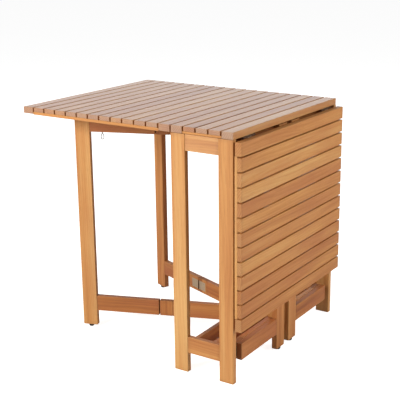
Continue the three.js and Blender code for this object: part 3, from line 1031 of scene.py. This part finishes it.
def make_floor():
    """A wide pale floor that looks brighter to the camera than the light that it throws back."""
    settings = bpy.context.scene.garden_table_studio
    bm = bmesh.new()
    bmesh.ops.create_grid(bm, x_segments=1, y_segments=1, size=FLOOR_REACH)
    mesh = bpy.data.meshes.new("floor")
    bm.to_mesh(mesh)
    bm.free()
    material = bpy.data.materials.new("pale_floor")
    material.use_nodes = True
    shader = material.node_tree.nodes["Principled BSDF"]
    tree = Tree(material.node_tree)
    seen = tree.add("ShaderNodeLightPath").outputs["Is Camera Ray"]
    tree.fill(shader, {"Base Color": rgba(settings.floor), "Roughness": 0.9,
                       "Specular IOR Level": 0.1, "Emission Color": (1, 1, 1, 1),
                       "Emission Strength": tree.math("MULTIPLY", seen, settings.floor_glow)})
    mesh.materials.append(material)
    floor = bpy.data.objects.new("floor", mesh)
    bpy.context.scene.collection.objects.link(floor)


def make_camera():
    """The camera, which stands off the front right corner."""
    settings = bpy.context.scene.garden_table_studio
    data = bpy.data.cameras.new("camera")
    data.sensor_width = 36.0
    data.lens = settings.focal
    data.shift_x, data.shift_y = settings.camera_shift
    camera = bpy.data.objects.new("camera", data)
    camera.location = settings.camera_place
    camera.rotation_euler = (settings.camera_tilt, 0, settings.camera_turn)
    bpy.context.scene.collection.objects.link(camera)
    bpy.context.scene.camera = camera


def soft_box(name, place, size, power, tint):
    """A rectangular area light aimed at the table."""
    data = bpy.data.lights.new(name, "AREA")
    data.shape = "RECTANGLE"
    data.size, data.size_y = size
    data.energy = power
    data.color = tint
    light = bpy.data.objects.new(name, data)
    light.location = place
    toward = LIGHTS_AIM - Vector(place)
    light.rotation_euler = toward.to_track_quat("-Z", "Y").to_euler()
    bpy.context.scene.collection.objects.link(light)


def make_lights():
    """An even sky that shows white to the camera, and three soft boxes."""
    settings = bpy.context.scene.garden_table_studio
    bpy.context.scene.view_settings.view_transform = "Standard"
    world = bpy.data.worlds.new("studio")
    bpy.context.scene.world = world
    world.use_nodes = True
    tree = Tree(world.node_tree)
    seen = tree.add("ShaderNodeLightPath").outputs["Is Camera Ray"]
    strength = tree.math("MULTIPLY_ADD", seen, settings.backdrop - settings.sky, settings.sky)
    tree.fill(world.node_tree.nodes["Background"], {"Color": (1, 1, 1, 1), "Strength": strength})
    soft_box("key", (-1.3, -3.4, 2.05), (2.0, 1.4), settings.key, (1.0, 0.985, 0.96))
    soft_box("fill", (3.3, 0.5, 1.5), (2.2, 2.0), settings.fill, (1.0, 0.99, 0.97))
    soft_box("back", (-2.7, 4.2, 2.0), (5.0, 2.2), settings.rim, (0.97, 0.985, 1.0))


# ---------------------------------------------------------------- add-on


class GARDEN_TABLE_OT_camera(bpy.types.Operator):
    """Adds the camera"""

    bl_idname = "garden_table.camera"
    bl_label = "Camera"

    def execute(self, context):
        make_camera()
        return {"FINISHED"}


class GARDEN_TABLE_OT_centre_top(bpy.types.Operator):
    """Builds the fixed middle boards and their battens"""

    bl_idname = "garden_table.centre_top"
    bl_label = "Centre Top"

    def execute(self, context):
        make_centre_top()
        return {"FINISHED"}


class GARDEN_TABLE_OT_leaves(bpy.types.Operator):
    """Builds the raised leaf and the hanging leaf"""

    bl_idname = "garden_table.leaves"
    bl_label = "Leaves"

    def execute(self, context):
        make_raised_leaf()
        make_hanging_leaf()
        return {"FINISHED"}


class GARDEN_TABLE_OT_end_frames(bpy.types.Operator):
    """Builds the legs and rails at both ends"""

    bl_idname = "garden_table.end_frames"
    bl_label = "End Frames"

    def execute(self, context):
        for end in ("front", "rear"):
            make_end_frame(end)
        return {"FINISHED"}


class GARDEN_TABLE_OT_inner_base(bpy.types.Operator):
    """Builds the stretchers, and the bearers with their pivot pins"""

    bl_idname = "garden_table.inner_base"
    bl_label = "Stretchers and Bearers"

    def execute(self, context):
        for side in ("left", "right"):
            make_stretcher(side)
        for level in ("lower", "upper"):
            make_bearer(level)
        return {"FINISHED"}


class GARDEN_TABLE_OT_gates(bpy.types.Operator):
    """Builds both halves of the four gates"""

    bl_idname = "garden_table.gates"
    bl_label = "Gates"

    def execute(self, context):
        for corner in CORNERS:
            make_inner_gate(corner)
            make_outer_gate(corner)
        return {"FINISHED"}


class GARDEN_TABLE_OT_leaf_hinges(bpy.types.Operator):
    """Builds the butt hinges of the two leaves"""

    bl_idname = "garden_table.leaf_hinges"
    bl_label = "Leaf Hinges"

    def execute(self, context):
        for side in ("left", "right"):
            for end in ("front", "rear"):
                make_leaf_hinge(side, end)
        return {"FINISHED"}


class GARDEN_TABLE_OT_elbow_hinges(bpy.types.Operator):
    """Builds the hinges in the gates' elbows"""

    bl_idname = "garden_table.elbow_hinges"
    bl_label = "Elbow Hinges"

    def execute(self, context):
        for corner in CORNERS:
            make_elbow_hinges(corner)
        return {"FINISHED"}


class GARDEN_TABLE_OT_glides(bpy.types.Operator):
    """Builds the round feet of the gates"""

    bl_idname = "garden_table.glides"
    bl_label = "Feet"

    def execute(self, context):
        for corner in CORNERS:
            make_glide(corner)
        return {"FINISHED"}


class GARDEN_TABLE_OT_eyes(bpy.types.Operator):
    """Builds the wire eyes of the gates"""

    bl_idname = "garden_table.eyes"
    bl_label = "Eyes"

    def execute(self, context):
        for corner in CORNERS:
            make_eye(corner)
        return {"FINISHED"}


class GARDEN_TABLE_OT_board_screws(bpy.types.Operator):
    """Adds the screws under the boards"""

    bl_idname = "garden_table.board_screws"
    bl_label = "Board Screws"

    def execute(self, context):
        make_board_screws()
        return {"FINISHED"}


class GARDEN_TABLE_OT_stage(bpy.types.Operator):
    """Adds the floor and the lights"""

    bl_idname = "garden_table.stage"
    bl_label = "Stage"

    def execute(self, context):
        make_floor()
        make_lights()
        return {"FINISHED"}


OPERATORS = (
    GARDEN_TABLE_OT_camera,
    GARDEN_TABLE_OT_centre_top,
    GARDEN_TABLE_OT_leaves,
    GARDEN_TABLE_OT_end_frames,
    GARDEN_TABLE_OT_inner_base,
    GARDEN_TABLE_OT_gates,
    GARDEN_TABLE_OT_leaf_hinges,
    GARDEN_TABLE_OT_elbow_hinges,
    GARDEN_TABLE_OT_glides,
    GARDEN_TABLE_OT_eyes,
    GARDEN_TABLE_OT_board_screws,
    GARDEN_TABLE_OT_stage,
)


class GARDEN_TABLE_PT_pieces(bpy.types.Panel):
    """Lists the table's pieces and the stage"""

    bl_label = "Garden Table"
    bl_idname = "GARDEN_TABLE_PT_pieces"
    bl_space_type = "VIEW_3D"
    bl_region_type = "UI"
    bl_category = "Garden Table"

    def draw(self, context):
        for made in OPERATORS:
            self.layout.operator(made.bl_idname)


CLASSES = (TimberSettings, HardwareSettings, StudioSettings, *OPERATORS, GARDEN_TABLE_PT_pieces)


def register():
    for made in CLASSES:
        bpy.utils.register_class(made)
    scene = bpy.types.Scene
    scene.garden_table_timber = bpy.props.PointerProperty(type=TimberSettings)
    scene.garden_table_hardware = bpy.props.PointerProperty(type=HardwareSettings)
    scene.garden_table_studio = bpy.props.PointerProperty(type=StudioSettings)


def unregister():
    scene = bpy.types.Scene
    del scene.garden_table_timber, scene.garden_table_hardware, scene.garden_table_studio
    for made in reversed(CLASSES):
        bpy.utils.unregister_class(made)


def main():
    register()
    for made in OPERATORS:
        name = made.bl_idname.split(".")[1]
        getattr(bpy.ops.garden_table, name)()


if __name__ == "__main__":
    main()
